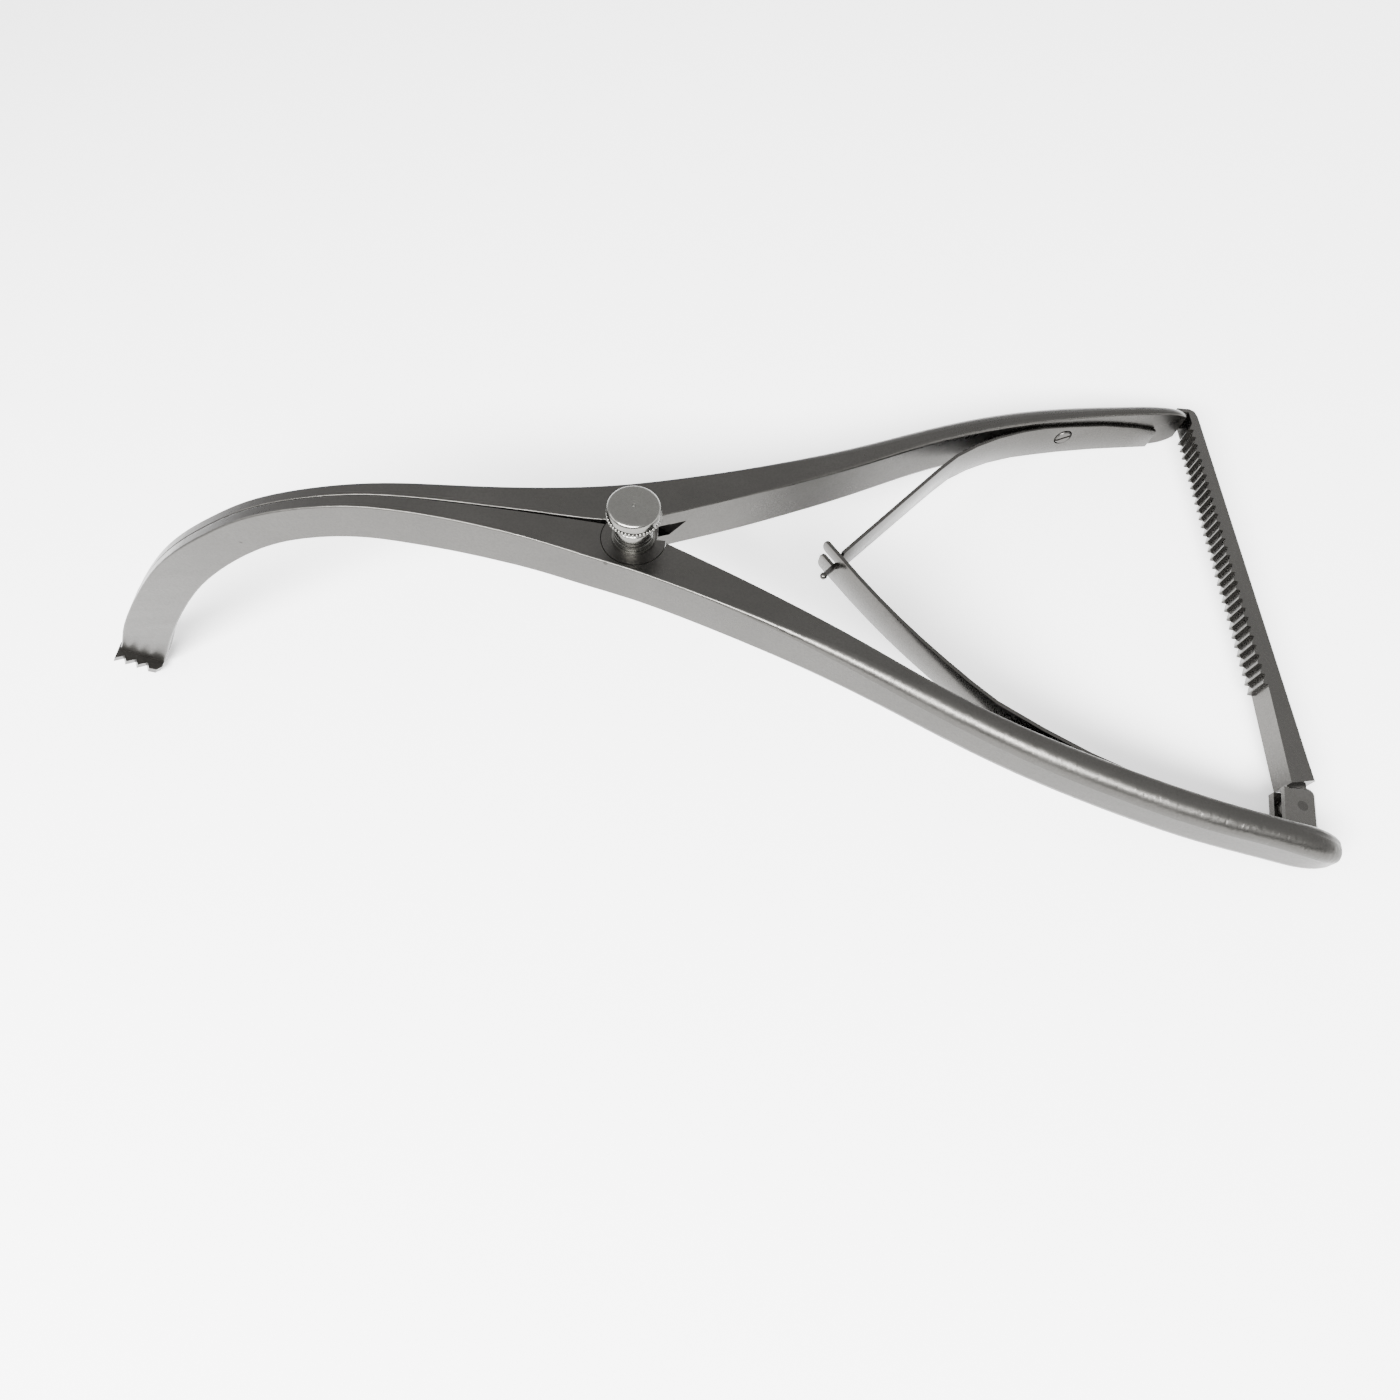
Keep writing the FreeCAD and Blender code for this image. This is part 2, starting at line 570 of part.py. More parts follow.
def ratchet_spring_screw_part(radius, above, below):
    x, y = RATCHET_SPRING_FOOT
    return Part.makeCylinder(radius, above + below, Vector(x, y + above, CLEVIS_Z), Vector(0, -1, 0))


def ratchet_spring_screw_hole():
    return ratchet_spring_screw_part(0.53, 2, 2.1)


def make_ratchet_spring_screw():
    head = ratchet_spring_screw_part(0.8, 0.95, -0.45)
    return head.fuse(ratchet_spring_screw_part(0.5, 0.6, 2.0))


def build():
    return {
        "lower_arm": make_lower_arm(),
        "upper_arm": make_upper_arm(),
        "pivot_screw": make_pivot_screw(),
        "pivot_washer": make_pivot_washer(),
        "lower_spring": make_lower_spring(),
        "upper_spring": make_upper_spring(),
        "lower_spring_screw": make_spring_screw(-1),
        "upper_spring_screw": make_spring_screw(1),
        "ratchet_bar": make_ratchet_bar(),
        "ratchet_clevis": make_ratchet_clevis(),
        "ratchet_hinge_pin": make_ratchet_hinge_pin(),
        "ratchet_spring": make_ratchet_spring(),
        "ratchet_spring_screw": make_ratchet_spring_screw(),
    }


# ---- laid down as it rests: on the tips of the jaws and the ends of the handles ----
def turned(points, degrees):
    turn = FreeCAD.Rotation(Vector(0, 1, 0), degrees)
    return [turn.multVec(p) for p in points]


def resting_placement(shapes):
    points = []
    for name in ("lower_arm", "upper_arm", "pivot_screw", "ratchet_bar"):
        points += shapes[name].tessellate(0.02)[0]
    flatter, steeper = 0.0, 40.0
    for _ in range(30):
        middle = (flatter + steeper) / 2
        laid = turned(points, middle)
        jaws = min(p.z for p in laid if p.x < 0)
        handles = min(p.z for p in laid if p.x > 0)
        if handles > jaws:
            flatter = middle
        else:
            steeper = middle
    laid = turned(points, flatter)
    centre_x = (min(p.x for p in laid) + max(p.x for p in laid)) / 2
    centre_y = (min(p.y for p in laid) + max(p.y for p in laid)) / 2
    shift = Vector(-centre_x, -centre_y, -min(p.z for p in laid))
    return FreeCAD.Placement(shift, FreeCAD.Rotation(Vector(0, 1, 0), flatter))


def main():
    shapes = build()
    resting = resting_placement(shapes)
    print("resting", resting)
    os.makedirs("parts", exist_ok=True)
    for name, shape in shapes.items():
        print(name, shape.isValid(), len(shape.Solids), round(shape.Volume, 1))
        shape.Placement = resting.multiply(shape.Placement)
        shape.exportStep("parts/" + name + ".step")


main()
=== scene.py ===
import json
import math

import bmesh
import bpy
from mathutils import Matrix, Vector


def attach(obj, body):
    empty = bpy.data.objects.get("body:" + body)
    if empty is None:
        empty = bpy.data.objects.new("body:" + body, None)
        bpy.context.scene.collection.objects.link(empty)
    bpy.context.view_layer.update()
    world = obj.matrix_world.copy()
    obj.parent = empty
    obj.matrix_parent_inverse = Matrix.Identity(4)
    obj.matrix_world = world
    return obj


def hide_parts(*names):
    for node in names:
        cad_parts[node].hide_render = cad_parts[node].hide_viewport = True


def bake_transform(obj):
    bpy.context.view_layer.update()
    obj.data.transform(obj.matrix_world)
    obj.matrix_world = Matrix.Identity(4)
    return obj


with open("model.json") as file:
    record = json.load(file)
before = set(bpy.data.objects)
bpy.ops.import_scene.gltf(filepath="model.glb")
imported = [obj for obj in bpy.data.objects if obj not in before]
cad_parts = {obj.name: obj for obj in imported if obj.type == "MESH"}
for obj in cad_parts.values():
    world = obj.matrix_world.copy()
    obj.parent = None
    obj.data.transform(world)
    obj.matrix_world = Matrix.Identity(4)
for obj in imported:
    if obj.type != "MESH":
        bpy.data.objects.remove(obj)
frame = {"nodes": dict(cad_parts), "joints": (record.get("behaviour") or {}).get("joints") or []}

bl_info = {
    "name": "Bone spreader finish",
    "version": (1, 0, 0),
    "blender": (4, 2, 0),
    "location": "View3D > Sidebar > Spreader",
    "description": "Steel finishes, leaf springs, thumbscrew and studio for the bone spreader",
    "category": "Object",
}

MM = 0.001
PIVOT_DEPTH = 5              # the pivot joint's point lies this far below the arms' top face


# ---- the tool's own axes: X to the handles, Y the way the arms open, Z along the pivot ----
def tool_axes():
    """The tool's own axes in the row frame, from the joint that opens the arms."""
    pivot = next(j for j in frame["joints"] if j["name"] == "handle_pivot")
    up = -Vector(pivot["axis"])
    origin = Vector(pivot["pos_m"]) + up * PIVOT_DEPTH * MM
    side = Vector((0, 1, 0))
    ahead = side.cross(up).normalized()
    turn = Matrix((ahead, side, up)).transposed().to_4x4()
    return Matrix.Translation(origin) @ turn


TOOL = tool_axes()


def place(x, y, z):
    """A point given in millimetres in the tool's axes, in the row frame."""
    return TOOL @ (Vector((x, y, z)) * MM)


class ToolSettings(bpy.types.PropertyGroup):
    steel: bpy.props.FloatVectorProperty(
        name="Steel", description="Base colour of the satin steel", subtype="COLOR", size=3,
        min=0, max=1, default=(0.060, 0.058, 0.0545))
    steel_dark: bpy.props.FloatVectorProperty(
        name="Stain", description="Colour of faint stains and pits", subtype="COLOR", size=3,
        min=0, max=1, default=(0.05, 0.045, 0.041))
    # The turned screw's base colour is set lighter than the arms' steel: painted light for the
    # brighter top of its turned head.
    screw_steel_with_painted_light: bpy.props.FloatVectorProperty(
        name="Polished", description="Base colour of the turned screw", subtype="COLOR", size=3,
        min=0, max=1, default=(0.13, 0.128, 0.12))
    satin: bpy.props.FloatProperty(
        name="Satin roughness", description="Roughness of the ground arms", default=0.25,
        min=0, max=1)
    leaf: bpy.props.FloatProperty(
        name="Leaf thickness", description="Thickness of the leaf springs", default=0.8 * MM,
        unit="LENGTH")
    knurls: bpy.props.IntProperty(
        name="Knurls", description="Beads round the thumbscrew", default=46, min=8)
    head_radius: bpy.props.FloatProperty(
        name="Head radius", description="Radius of the thumbscrew's head over the beads",
        default=5.2 * MM, unit="LENGTH")
    floor: bpy.props.FloatVectorProperty(
        name="Floor", description="Colour of the floor", subtype="COLOR", size=3,
        min=0, max=1, default=(0.92, 0.92, 0.92))


# ---- shader maths ----
class Wire:
    """A node socket that can be added, multiplied and mixed like a number."""

    def __init__(self, tree, socket):
        self.tree = tree
        self.socket = socket

    def node(self, kind, inputs=None, output=0, **settings):
        made = self.tree.nodes.new(kind)
        for key, value in settings.items():
            setattr(made, key, value)
        for key, value in (inputs or {}).items():
            if isinstance(value, Wire):
                self.tree.links.new(value.socket, made.inputs[key])
            else:
                made.inputs[key].default_value = value
        return Wire(self.tree, made.outputs[output])

    def maths(self, operation, first, second=0.0, third=0.0):
        return self.node("ShaderNodeMath", {0: first, 1: second, 2: third}, operation=operation)

    def __add__(self, other):
        return self.maths("ADD", self, other)

    __radd__ = __add__

    def __sub__(self, other):
        return self.maths("SUBTRACT", self, other)

    def __rsub__(self, other):
        return self.maths("SUBTRACT", other, self)

    def __mul__(self, other):
        return self.maths("MULTIPLY", self, other)

    __rmul__ = __mul__

    def ramp(self, low, high, out_low=0.0, out_high=1.0):
        """Smoothly turns the range low..high into out_low..out_high."""
        inputs = {"Value": self, "From Min": low, "From Max": high,
                  "To Min": out_low, "To Max": out_high}
        return self.node("ShaderNodeMapRange", inputs, interpolation_type="SMOOTHSTEP")

    def mix(self, first, second):
        """A colour between first and second, by this wire's value."""
        return self.node("ShaderNodeMix", {0: self, 6: first, 7: second}, output=2,
                         data_type="RGBA")

    def stretched(self, x, y, z):
        return self.node("ShaderNodeMapping", {"Vector": self, "Scale": (x, y, z)})

    def noise(self, scale, detail=2.0, roughness=0.5):
        inputs = {"Vector": self, "Scale": scale, "Detail": detail, "Roughness": roughness}
        return self.node("ShaderNodeTexNoise", inputs)


def new_material(name):
    material = bpy.data.materials.new(name)
    material.use_nodes = True
    tree = material.node_tree
    shader = tree.nodes["Principled BSDF"]
    coords = tree.nodes.new("ShaderNodeTexCoord")
    return material, tree, shader, Wire(tree, coords.outputs["Object"])


def colour(rgb):
    return (rgb[0], rgb[1], rgb[2], 1.0)


def steel_material(name, base, stain, satin, grain_scale, grain_depth, painted_light_gain=1.0):
    """Satin steel, or the smoother steel of the turned screw: fine grinding lines, cloudy wear,
    faint stains and rare pits; a gain above 1 lightens the whole colour as painted light.
    """
    material, tree, shader, here = new_material(name)
    cloud = here.noise(38, 4, 0.6)
    fine = here.noise(2200, 3, 0.7)
    grain = here.stretched(*grain_scale).noise(160, 4, 0.65)
    pits = here.node("ShaderNodeTexVoronoi", {"Vector": here, "Scale": 55.0}, output="Distance")
    pit = pits.ramp(0.035, 0.02)
    stains = cloud.ramp(0.60, 0.78) * 0.28
    # A gain above 1 lightens every tone below: painted light, not the steel's own colour.
    light = colour([painted_light_gain * c * 1.06 for c in base])
    dull = colour([painted_light_gain * c * 0.93 for c in base])
    body = cloud.ramp(0.3, 0.7).mix(dull, light)
    body = stains.mix(body, colour([painted_light_gain * c for c in stain]))
    body = (fine.ramp(0.35, 0.7) * 0.45).mix(body, colour([painted_light_gain * c * 0.7 for c in base]))
    body = (pit * 0.6).mix(body, colour([c * 0.4 for c in stain]))
    rough = grain.ramp(0.25, 0.75, satin - 0.05, satin + 0.06) + cloud.ramp(0.4, 0.8) * 0.05
    rough = rough + pit * 0.2 + fine.ramp(0.3, 0.7) * 0.06
    tree.links.new(body.socket, shader.inputs["Base Color"])
    tree.links.new(rough.socket, shader.inputs["Roughness"])
    shader.inputs["Metallic"].default_value = 1.0
    height = grain * 0.7 + fine * 0.3 - pit * 2.0
    bump = here.node("ShaderNodeBump", {"Height": height, "Strength": 0.35,
                                        "Distance": grain_depth})
    tree.links.new(bump.socket, shader.inputs["Normal"])
    return material


def set_material(thing, material):
    thing.data.materials.clear()
    thing.data.materials.append(material)
    for face in thing.data.polygons:
        face.material_index = 0


def settings():
    return bpy.context.scene.spreader


# ---- modelling helpers ----
def fresh(name):
    """The object just added or joined, under a name of its own."""
    thing = bpy.context.object
    thing.name = name
    thing.data.name = name
    return thing


def clear_selection():
    bpy.ops.object.select_all(action="DESELECT")


def apply_place(thing):
    """Puts the object's place, turn and scale into its mesh."""
    clear_selection()
    thing.select_set(True)
    bpy.context.view_layer.objects.active = thing
    bpy.ops.object.transform_apply(location=True, rotation=True, scale=True)


def apply_modifier(thing, kind, **values):
    modifier = thing.modifiers.new(kind.title(), kind)
    for key, value in values.items():
        setattr(modifier, key, value)
    clear_selection()
    thing.select_set(True)
    bpy.context.view_layer.objects.active = thing
    bpy.ops.object.modifier_apply(modifier=modifier.name)


def cut_away(thing, cutter):
    """Takes the cutter's shape out of a piece, and the cutter out of the scene."""
    apply_modifier(thing, "BOOLEAN", operation="DIFFERENCE", solver="EXACT", object=cutter)
    bpy.data.objects.remove(cutter)


def merge(things, name):
    """Joins pieces that are one part, under one name."""
    clear_selection()
    for thing in things:
        thing.select_set(True)
    bpy.context.view_layer.objects.active = things[0]
    bpy.ops.object.join()
    return fresh(name)


def lay_in_tool(thing):
    """Moves a mesh drawn in metres in the tool's axes to its place in the row frame."""
    thing.matrix_world = TOOL @ thing.matrix_world
    apply_place(thing)


def smooth(thing, degrees):
    clear_selection()
    thing.select_set(True)
    bpy.context.view_layer.objects.active = thing
    bpy.ops.object.shade_smooth_by_angle(angle=math.radians(degrees))


# ---- leaf springs ----
# The handle side of each leaf in plan, from its root to its free end.
UPPER_LEAF = [
    (111.0, 47.78), (106.0, 46.86), (98.0, 45.33), (90.0, 43.46), (84.0, 41.8), (79.0, 40.05),
    (73.5, 37.5), (68.7, 34.6), (64.2, 31.15), (60.2, 26.9), (56.0, 22.0), (51.3, 16.5),
    (46.6, 11.0), (43.0, 6.8), (40.0, 3.3),
]
LOWER_LEAF = [
    (111.0, -43.3), (106.0, -42.15), (98.0, -40.1), (91.0, -38.05), (84.0, -35.5),
    (76.0, -31.5), (68.0, -26.95), (63.2, -23.15), (58.5, -18.95), (54.3, -15.0),
    (50.3, -10.95), (46.6, -6.9), (43.0, -2.65), (40.2, 0.85), (36.6, 5.35),
]
# Heights of their lower and upper edges, as x and z.
UPPER_LEAF_BOTTOM = [(38, -8.1), (70, -9.15), (84, -9.85), (111, -9.6)]
UPPER_LEAF_TOP = [(38, -1.9), (70, -1.75), (84, -1.75), (98, -2.5), (106, -3.5), (111, -4.7)]
LOWER_LEAF_BOTTOM = [(36, -9.5), (46, -9.3), (70, -9.15), (84, -9.85), (111, -9.6)]
LOWER_LEAF_TOP = [(36, -1.6), (70, -1.75), (84, -1.75), (98, -2.5), (106, -3.5), (111, -4.7)]

LEAF_MIDDLE_Z = -5
SCREW_SEAT_RADIUS = 1.95
SCREW_WAY = (-0.236, 0.972)  # the root screws point this way into their handles, in plan
FORK_DEPTH = 4.4
FORK_WIDTH = 1.5
PRONG_ROUND = 1.05
TONGUE_SIZE = (5.4, 0.76, 1.3)
TONGUE_REACH = 2.2           # from the leaf's end to the tongue's middle
BALL_REACH = 4.9
BALL_RADIUS = 0.72


def leaf_strip(name, path, side, bottom, top):
    """A strip drawn out stretch by stretch from an upright plane across its root."""
    points = [Vector((x, y, 0)) * MM for x, y in path]
    ways = []
    for index in range(len(points)):
        before = points[max(0, index - 1)]
        after = points[min(len(points) - 1, index + 1)]
        ways.append((after - before).normalized())
    middles = []
    heights = []
    for x, _ in path:
        low, high = between(x, bottom), between(x, top)
        middles.append(Vector((0, 0, (low + high) / 2)) * MM)
        heights.append((high - low) * MM)
    thick = settings().leaf
    across = Vector((ways[0].y, -ways[0].x, 0)) * -side
    bpy.ops.mesh.primitive_plane_add(
        size=1, location=points[0] + middles[0] + across * thick / 2,
        rotation=(math.radians(90), 0, math.atan2(across.y, across.x)))
    strip = fresh(name)
    strip.scale = (thick, heights[0], 1)
    apply_place(strip)
    bpy.ops.object.mode_set(mode="EDIT")
    bpy.ops.mesh.select_all(action="SELECT")
    for index in range(1, len(points)):
        here = points[index] + middles[index]
        step = here - points[index - 1] - middles[index - 1]
        bpy.ops.mesh.extrude_region_move(TRANSFORM_OT_translate={"value": step})
        turn = ways[index - 1].xy.angle_signed(ways[index].xy, 0.0)
        bpy.ops.transform.rotate(value=turn, orient_axis="Z", orient_type="GLOBAL",
                                 center_override=here)
        bpy.ops.transform.resize(value=(1, 1, heights[index] / heights[index - 1]),
                                 center_override=here)
    bpy.ops.mesh.select_all(action="SELECT")
    bpy.ops.mesh.normals_make_consistent(inside=False)
    bpy.ops.object.mode_set(mode="OBJECT")
    return strip


def between(x, knots):
    """Height at x on a line through the knots, level past its ends."""
    for (x0, a), (x1, b) in zip(knots, knots[1:]):
        if x <= x1:
            return a + (b - a) * max(0.0, (x - x0) / (x1 - x0))
    return knots[-1][1]


def add_box(name, centre, size, angle):
    """A box turned about the vertical."""
    bpy.ops.mesh.primitive_cube_add(size=1, location=centre, rotation=(0, 0, angle))
    box = fresh(name)
    box.scale = size
    apply_place(box)
    return box


def spring_bevel(strip, width=0.16 * MM):
    """Breaks the sharp edges of a spring."""
    apply_modifier(strip, "BEVEL", width=width, segments=2, limit_method="ANGLE",
                   angle_limit=math.radians(40))


def leaf_end(path):
    """The free end of a leaf in plan, and the way it points."""
    tip, back = Vector((*path[-1], 0)), Vector((*path[-2], 0))
    return tip, (tip - back).normalized()


class SPREADER_OT_leaf_springs(bpy.types.Operator):
    """Two leaf springs: a forked one on the lower handle, a ball-ended one on the upper"""

    bl_idname = "spreader.leaf_springs"
    bl_label = "Leaf springs"

    def execute(self, context):
        steel = bpy.data.materials["leaf_steel"]
        for pieces, side, start, end in (self.lower(), self.upper()):
            for piece in pieces:
                lay_in_tool(piece)
            self.screw_seat(pieces[0], frame["nodes"][side + "_spring_screw"])
            strip = merge(pieces, side + "_leaf_spring")
            smooth(strip, 30)
            set_material(strip, steel)
            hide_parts(side + "_spring")
            side + "_arm"
            side + "_leaf"
            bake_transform(strip)
        return {"FINISHED"}

    def screw_seat(self, strip, screw):
        """A hole in the leaf for the head of its root screw."""
        total = sum((vertex.co for vertex in screw.data.vertices), Vector())
        middle = TOOL.inverted() @ (total / len(screw.data.vertices))
        along, into = SCREW_WAY
        way = Vector((along, math.copysign(into, middle.y), 0))
        bpy.ops.mesh.primitive_cylinder_add(vertices=48, radius=SCREW_SEAT_RADIUS * MM,
                                            depth=12 * MM)
        cutter = fresh("seat")
        lean = way.to_track_quat("Z", "Y").to_matrix().to_4x4()
        cutter.matrix_world = TOOL @ Matrix.Translation(middle) @ lean
        apply_place(cutter)
        cut_away(strip, cutter)

    def lower(self):
        """The forked leaf, and two points along it where it would start and stop bending; nothing
        here bends it.
        """
        strip = leaf_strip("lower_leaf_spring", LOWER_LEAF, -1, LOWER_LEAF_BOTTOM, LOWER_LEAF_TOP)
        tip, way = leaf_end(LOWER_LEAF)
        beyond = 2
        length = FORK_DEPTH + beyond
        middle = tip + way * (beyond - FORK_DEPTH) / 2 + Vector((0, 0, LEAF_MIDDLE_Z))
        slot = add_box("slot", middle * MM, Vector((length, 6, FORK_WIDTH)) * MM,
                       math.atan2(way.y, way.x))
        cut_away(strip, slot)
        self.round_prongs(strip, tip, way)
        spring_bevel(strip)
        return [strip], "lower", place(78, -30, -5), place(55, -16, -5)

    def round_prongs(self, strip, tip, way):
        """Rounds the four corners of the fork's end."""
        clear_selection()
        strip.select_set(True)
        bpy.context.view_layer.objects.active = strip
        bpy.ops.object.mode_set(mode="EDIT")
        bpy.ops.mesh.select_mode(type="EDGE")
        bpy.ops.mesh.select_all(action="DESELECT")
        mesh = bmesh.from_edit_mesh(strip.data)
        for edge in mesh.edges:
            ends = [v.co / MM for v in edge.verts]
            at_tip = all(abs((p - tip).xy.dot(way.xy)) < 0.1 for p in ends)
            flat = abs(ends[0].z - ends[1].z) < 0.05
            edge.select = at_tip and flat
        bmesh.update_edit_mesh(strip.data)
        bpy.ops.mesh.bevel(offset=PRONG_ROUND * MM, segments=6, affect="EDGES")
        bpy.ops.object.mode_set(mode="OBJECT")

    def upper(self):
        """The leaf with a tongue and ball, and two points along it where it would start and stop
        bending; nothing here bends it.
        """
        strip = leaf_strip("upper_leaf_spring", UPPER_LEAF, 1, UPPER_LEAF_BOTTOM, UPPER_LEAF_TOP)
        spring_bevel(strip)
        tip, way = leaf_end(UPPER_LEAF)
        half_leaf = Vector((-way.y, way.x, 0)) * settings().leaf / MM / 2
        centre = tip + half_leaf + Vector((0, 0, LEAF_MIDDLE_Z))
        tongue = add_box("tongue", (centre + way * TONGUE_REACH) * MM, Vector(TONGUE_SIZE) * MM,
                         math.atan2(way.y, way.x))
        spring_bevel(tongue, 0.12 * MM)
        bpy.ops.mesh.primitive_uv_sphere_add(segments=24, ring_count=12, radius=BALL_RADIUS * MM,
                                             location=(centre + way * BALL_REACH) * MM)
        ball = fresh("ball")
        apply_place(ball)
        return [strip, tongue, ball], "upper", place(78, 40, -5), place(56, 22, -5)


# ---- thumbscrew ----
# Half the screw's outline, as radius and height, from the top of the head to the shank's end.
HEAD_PROFILE = [(0.0, 9.7), (0.22, 9.66), (0.34, 9.56), (0.5, 9.66), (2.6, 9.72), (4.15, 9.56),
                (4.55, 9.42), (4.85, 9.1), (4.98, 8.55), (5.0, 7.85), (4.75, 7.6), (4.7, 6.75),
                (4.7, 6.5), (4.1, 6.15), (3.4, 5.85), (3.28, 5.5), (3.28, 4.9), (3.6, 4.7),
                (3.72, 4.5), (3.72, 3.2), (3.45, 3.1), (3.45, 2.85), (3.72, 2.75), (3.72, 2.15),
                (3.45, 2.05), (3.45, 1.8), (3.72, 1.7), (3.72, 0.8), (2.5, 0.76), (2.5, -9.55),
                (2.2, -9.6), (0.0, -9.6)]
TURNED_STEPS = 96
BEAD_RADIUS = 0.36
BEAD_Z = 7.1
BEAD_STRETCH = 1.3


class SPREADER_OT_thumbscrew(bpy.types.Operator):
    """The knurled thumbscrew that holds the pivot"""

    bl_idname = "spreader.thumbscrew"
    bl_label = "Thumbscrew"

    def execute(self, context):
        screw = merge([self.turned_body(), self.bead_row()], "knurled_thumbscrew")
        lay_in_tool(screw)
        smooth(screw, 40)
        set_material(screw, bpy.data.materials["turned_steel"])
        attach(screw, "thumbscrew")
        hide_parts("pivot_screw")
        return {"FINISHED"}

    def turned_body(self):
        """The outline drawn out point by point, then spun about the screw's axis."""
        bpy.ops.mesh.primitive_plane_add(size=1)
        body = fresh("turned_body")
        bpy.ops.object.mode_set(mode="EDIT")
        bpy.ops.mesh.select_mode(type="VERT")
        bpy.ops.mesh.select_all(action="SELECT")
        bpy.ops.mesh.merge(type="CENTER")
        radius, height = HEAD_PROFILE[0]
        bpy.ops.transform.translate(value=(radius * MM, 0, height * MM))
        for next_radius, next_height in HEAD_PROFILE[1:]:
            step = Vector((next_radius - radius, 0, next_height - height)) * MM
            bpy.ops.mesh.extrude_region_move(TRANSFORM_OT_translate={"value": step})
            radius, height = next_radius, next_height
        bpy.ops.mesh.select_all(action="SELECT")
        bpy.ops.mesh.spin(steps=TURNED_STEPS, angle=2 * math.pi, center=(0, 0, 0),
                          axis=(0, 0, 1))
        bpy.ops.mesh.select_all(action="SELECT")
        bpy.ops.mesh.remove_doubles(threshold=0.00001)
        bpy.ops.mesh.normals_make_consistent(inside=False)
        bpy.ops.object.mode_set(mode="OBJECT")
        return body

    def bead_row(self):
        """One bead, copied round the head."""
        own = settings()
        bpy.ops.mesh.primitive_uv_sphere_add(
            segments=12, ring_count=8, radius=BEAD_RADIUS * MM,
            location=(own.head_radius - BEAD_RADIUS * MM, 0, BEAD_Z * MM))
        beads = fresh("beads")
        beads.scale = (1, 1, BEAD_STRETCH)
        apply_place(beads)
        bpy.ops.object.mode_set(mode="EDIT")
        bpy.ops.mesh.select_all(action="SELECT")
        bpy.ops.mesh.spin(steps=own.knurls - 1, angle=2 * math.pi * (1 - 1 / own.knurls),
                          dupli=True, center=(0, 0, 0), axis=(0, 0, 1))
        bpy.ops.object.mode_set(mode="OBJECT")
        return beads


# ---- finishes ----
FINE_GRAIN = 0.00002         # depths of the grinding lines, in metres
GROUND_GRAIN = 0.00004
ALONG_X = (0.05, 1.0, 1.0)   # squeezes the grain's pattern, so that lines run along the piece
ALONG_Y = (1.0, 0.1, 1.0)
ALONG_Z = (1.0, 1.0, 0.1)
ALONG_LEAF = (0.1, 0.1, 1.0)
EVEN = (1.0, 1.0, 1.0)


class SPREADER_OT_finishes(bpy.types.Operator):
    """Steel finishes for the forged, milled and turned pieces"""

    bl_idname = "spreader.finishes"
    bl_label = "Steel finishes"

    def execute(self, context):
        own = settings()
        base, stain = tuple(own.steel), tuple(own.steel_dark)
        arm = steel_material("arm_steel", base, stain, own.satin + 0.03, ALONG_X, GROUND_GRAIN)
        # The bar, the clevis and the small parts are lighter copies of the arm steel: painted
        # light for the bar's lit top, the clevis ear's rounded lit face and the glint on the
        # hinge pin.
        bar = steel_material("bar_steel", base, stain, own.satin - 0.03, ALONG_Y, GROUND_GRAIN,
                             painted_light_gain=1.25)
        clevis = steel_material("clevis_steel", base, stain, own.satin, ALONG_Z, GROUND_GRAIN,
                                painted_light_gain=1.6)
        small = steel_material("small_steel", base, stain, 0.22, EVEN, FINE_GRAIN, painted_light_gain=1.05)
        leaf = steel_material("leaf_steel", base, stain, own.satin - 0.02, ALONG_LEAF, 0.00003)
        # The screw's steel is lighter than the arms': painted light on its head.
        turned = steel_material("turned_steel", tuple(own.screw_steel_with_painted_light), stain, 0.20,
                                (1.0, 1.0, 0.3), FINE_GRAIN)
        finishes = {
            "lower_arm": arm, "upper_arm": arm, "ratchet_bar": bar, "ratchet_clevis": clevis,
            "pivot_washer": turned, "ratchet_hinge_pin": small,
            "lower_spring_screw": small, "upper_spring_screw": small,
            "ratchet_spring": leaf, "ratchet_spring_screw": small,
        }
        for node, material in finishes.items():
            set_material(frame["nodes"][node], material)
        return {"FINISHED"}


# ---- stage ----
FLOOR_SIZE = 3.0             # metres, like every size and place of the stage's lights
FLOOR_GLOW = 0.6
SKY = (1.6, 1.6, 1.61, 1)
LIT_POINT = (0, 0, 0.03)
LENS = 23.268                # millimetres, on a sensor 36 mm wide
SENSOR = 36.0
CAMERA_SPOT = (9.25, -104.17, 138.48)             # millimetres, in the tool's axes
CAMERA_RIGHT = (0.99477, 0.06863, 0.07562)
CAMERA_UP = (-0.09558, 0.88642, 0.45291)


def aim(thing, target):
    """Turns a light to face a point."""
    way = Vector(target) - thing.location
    thing.rotation_euler = way.to_track_quat("-Z", "Y").to_euler()


def softbox(name, spot, target, size, power):
    """A rectangular area light."""
    light = bpy.data.lights.new(name, "AREA")
    light.shape = "RECTANGLE"
    light.size, light.size_y = size
    light.energy = power
    lamp = bpy.data.objects.new(name, light)
    bpy.context.scene.collection.objects.link(lamp)
    lamp.location = spot
    aim(lamp, target)
    return lamp


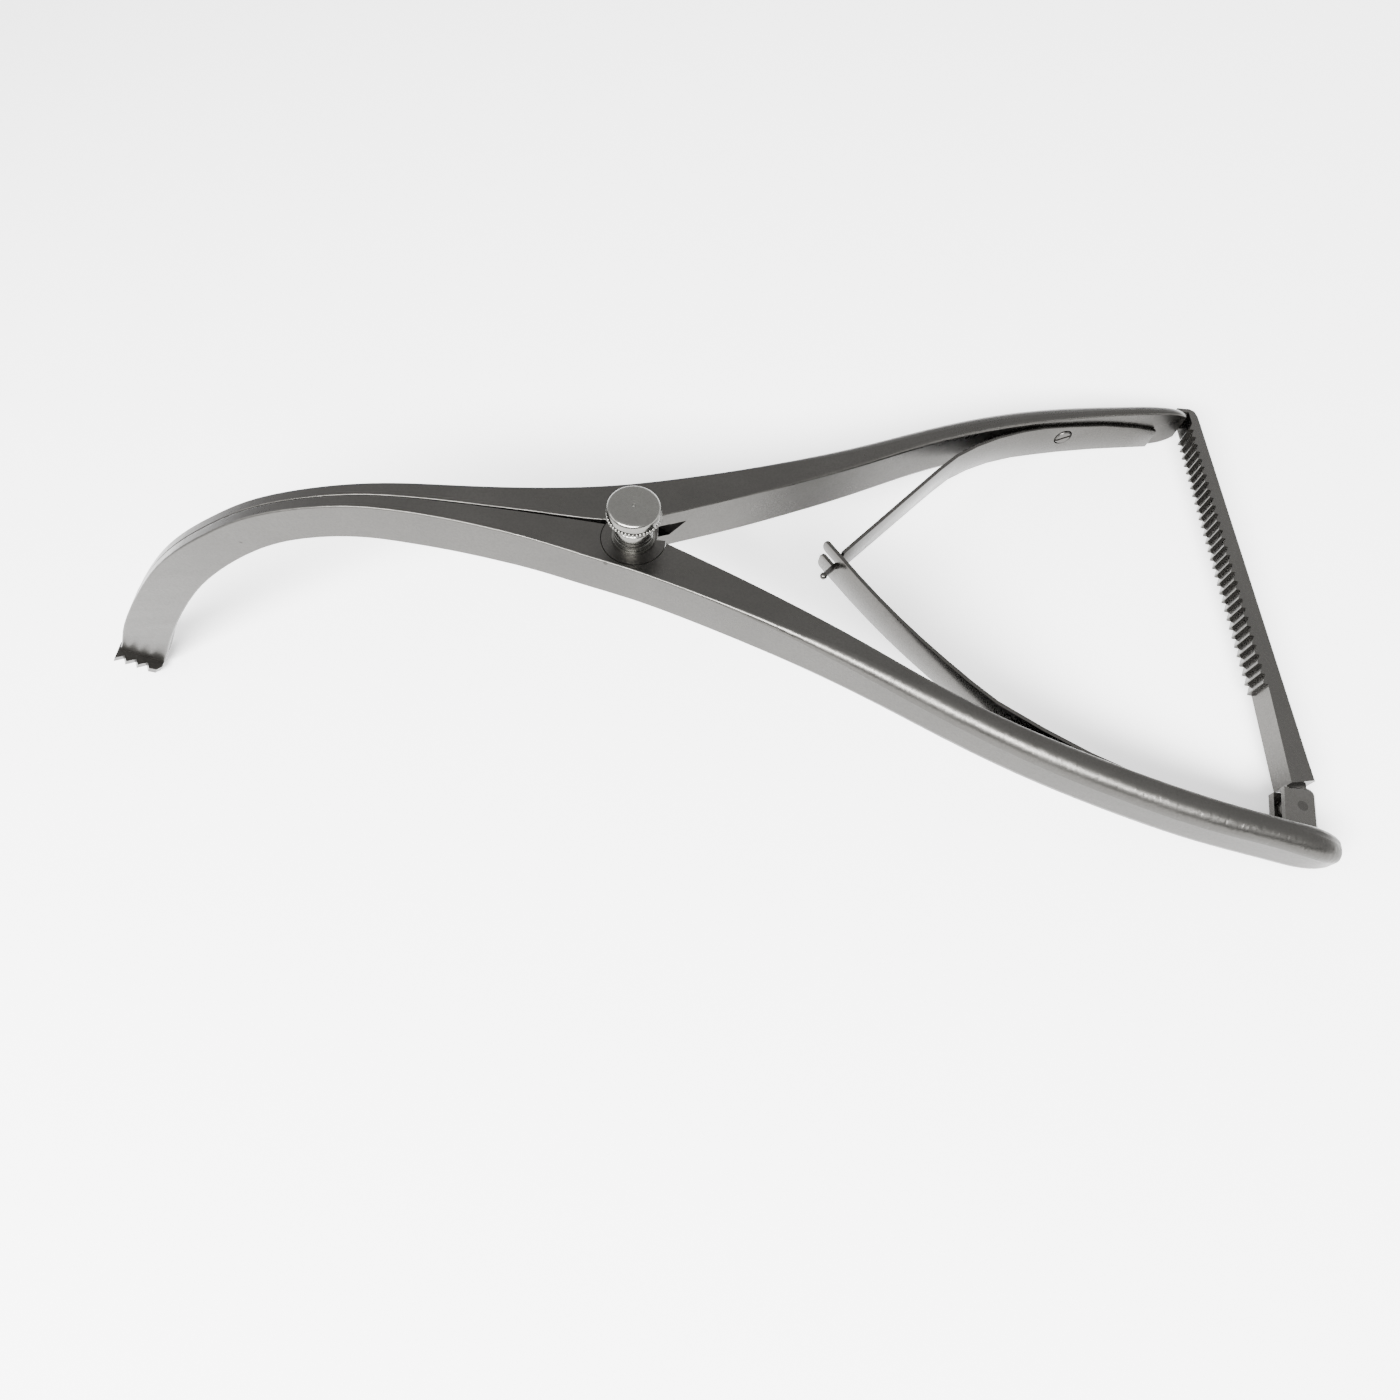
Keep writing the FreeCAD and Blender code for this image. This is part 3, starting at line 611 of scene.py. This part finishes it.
class SPREADER_OT_studio(bpy.types.Operator):
    """Pale floor, soft lights and the camera"""

    bl_idname = "spreader.studio"
    bl_label = "Studio"

    def execute(self, context):
        bpy.ops.mesh.primitive_plane_add(size=FLOOR_SIZE, location=(0, 0, -0.0002))
        floor = fresh("floor")
        apply_place(floor)
        material, tree, shader, here = new_material("floor_paper")
        speck = here.noise(30, 3)
        tone = tuple(settings().floor)
        body = speck.ramp(0.3, 0.7).mix(colour([c * 0.995 for c in tone]), colour(tone))
        tree.links.new(body.socket, shader.inputs["Base Color"])
        shader.inputs["Roughness"].default_value = 0.9
        shader.inputs["Specular IOR Level"].default_value = 0.1
        shader.inputs["Emission Color"].default_value = (1, 1, 1, 1)
        shader.inputs["Emission Strength"].default_value = FLOOR_GLOW
        set_material(floor, material)
        bpy.ops.mesh.primitive_plane_add(size=1, location=(0, -0.95, 0.17),
                                         rotation=(math.radians(90), 0, 0))
        card = fresh("dark_card")
        card.scale = (3.0, 0.36, 1)
        apply_place(card)
        black, _, black_shader, _ = new_material("dark_card")
        black_shader.inputs["Base Color"].default_value = (0.01, 0.01, 0.01, 1)
        black_shader.inputs["Roughness"].default_value = 0.9
        set_material(card, black)
        softbox("front_softbox", (-0.1, -0.62, 0.62), LIT_POINT, (1.0, 0.22), 62.0)
        softbox("left_softbox", (-0.8, -0.1, 0.55), LIT_POINT, (0.5, 0.4), 4.0)
        world = bpy.data.worlds.new("studio")
        world.use_nodes = True
        world.node_tree.nodes["Background"].inputs["Color"].default_value = SKY
        context.scene.world = world
        self.camera(context)
        return {"FINISHED"}

    def camera(self, context):
        """A short lens, above and in front of the tool."""
        lens = bpy.data.cameras.new("camera")
        lens.sensor_fit = "HORIZONTAL"
        lens.sensor_width = SENSOR
        lens.lens = LENS
        lens.clip_start = 0.005
        lens.clip_end = 10
        view = bpy.data.objects.new("camera", lens)
        context.scene.collection.objects.link(view)
        right, up = Vector(CAMERA_RIGHT), Vector(CAMERA_UP)
        back = right.cross(up)
        turn = Matrix((right, up, back)).transposed().to_4x4()
        spot = Matrix.Translation(Vector(CAMERA_SPOT) * MM)
        view.matrix_world = TOOL @ spot @ turn
        context.scene.camera = view


class SPREADER_PT_panel(bpy.types.Panel):
    bl_label = "Bone spreader"
    bl_idname = "SPREADER_PT_panel"
    bl_space_type = "VIEW_3D"
    bl_region_type = "UI"
    bl_category = "Spreader"

    def draw(self, context):
        layout = self.layout
        own = context.scene.spreader
        for name in ("steel", "steel_dark", "screw_steel_with_painted_light", "satin", "leaf", "knurls",
                     "head_radius", "floor"):
            layout.prop(own, name)
        layout.operator("spreader.finishes")
        layout.operator("spreader.leaf_springs")
        layout.operator("spreader.thumbscrew")
        layout.operator("spreader.studio")


CLASSES = (ToolSettings, SPREADER_OT_finishes, SPREADER_OT_leaf_springs,
           SPREADER_OT_thumbscrew, SPREADER_OT_studio, SPREADER_PT_panel)


def register():
    for item in CLASSES:
        bpy.utils.register_class(item)
    bpy.types.Scene.spreader = bpy.props.PointerProperty(type=ToolSettings)


def unregister():
    del bpy.types.Scene.spreader
    for item in reversed(CLASSES):
        bpy.utils.unregister_class(item)


def main():
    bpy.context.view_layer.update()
    register()
    bpy.ops.spreader.finishes()
    bpy.ops.spreader.leaf_springs()
    bpy.ops.spreader.thumbscrew()
    bpy.ops.spreader.studio()


if __name__ == "__main__":
    main()
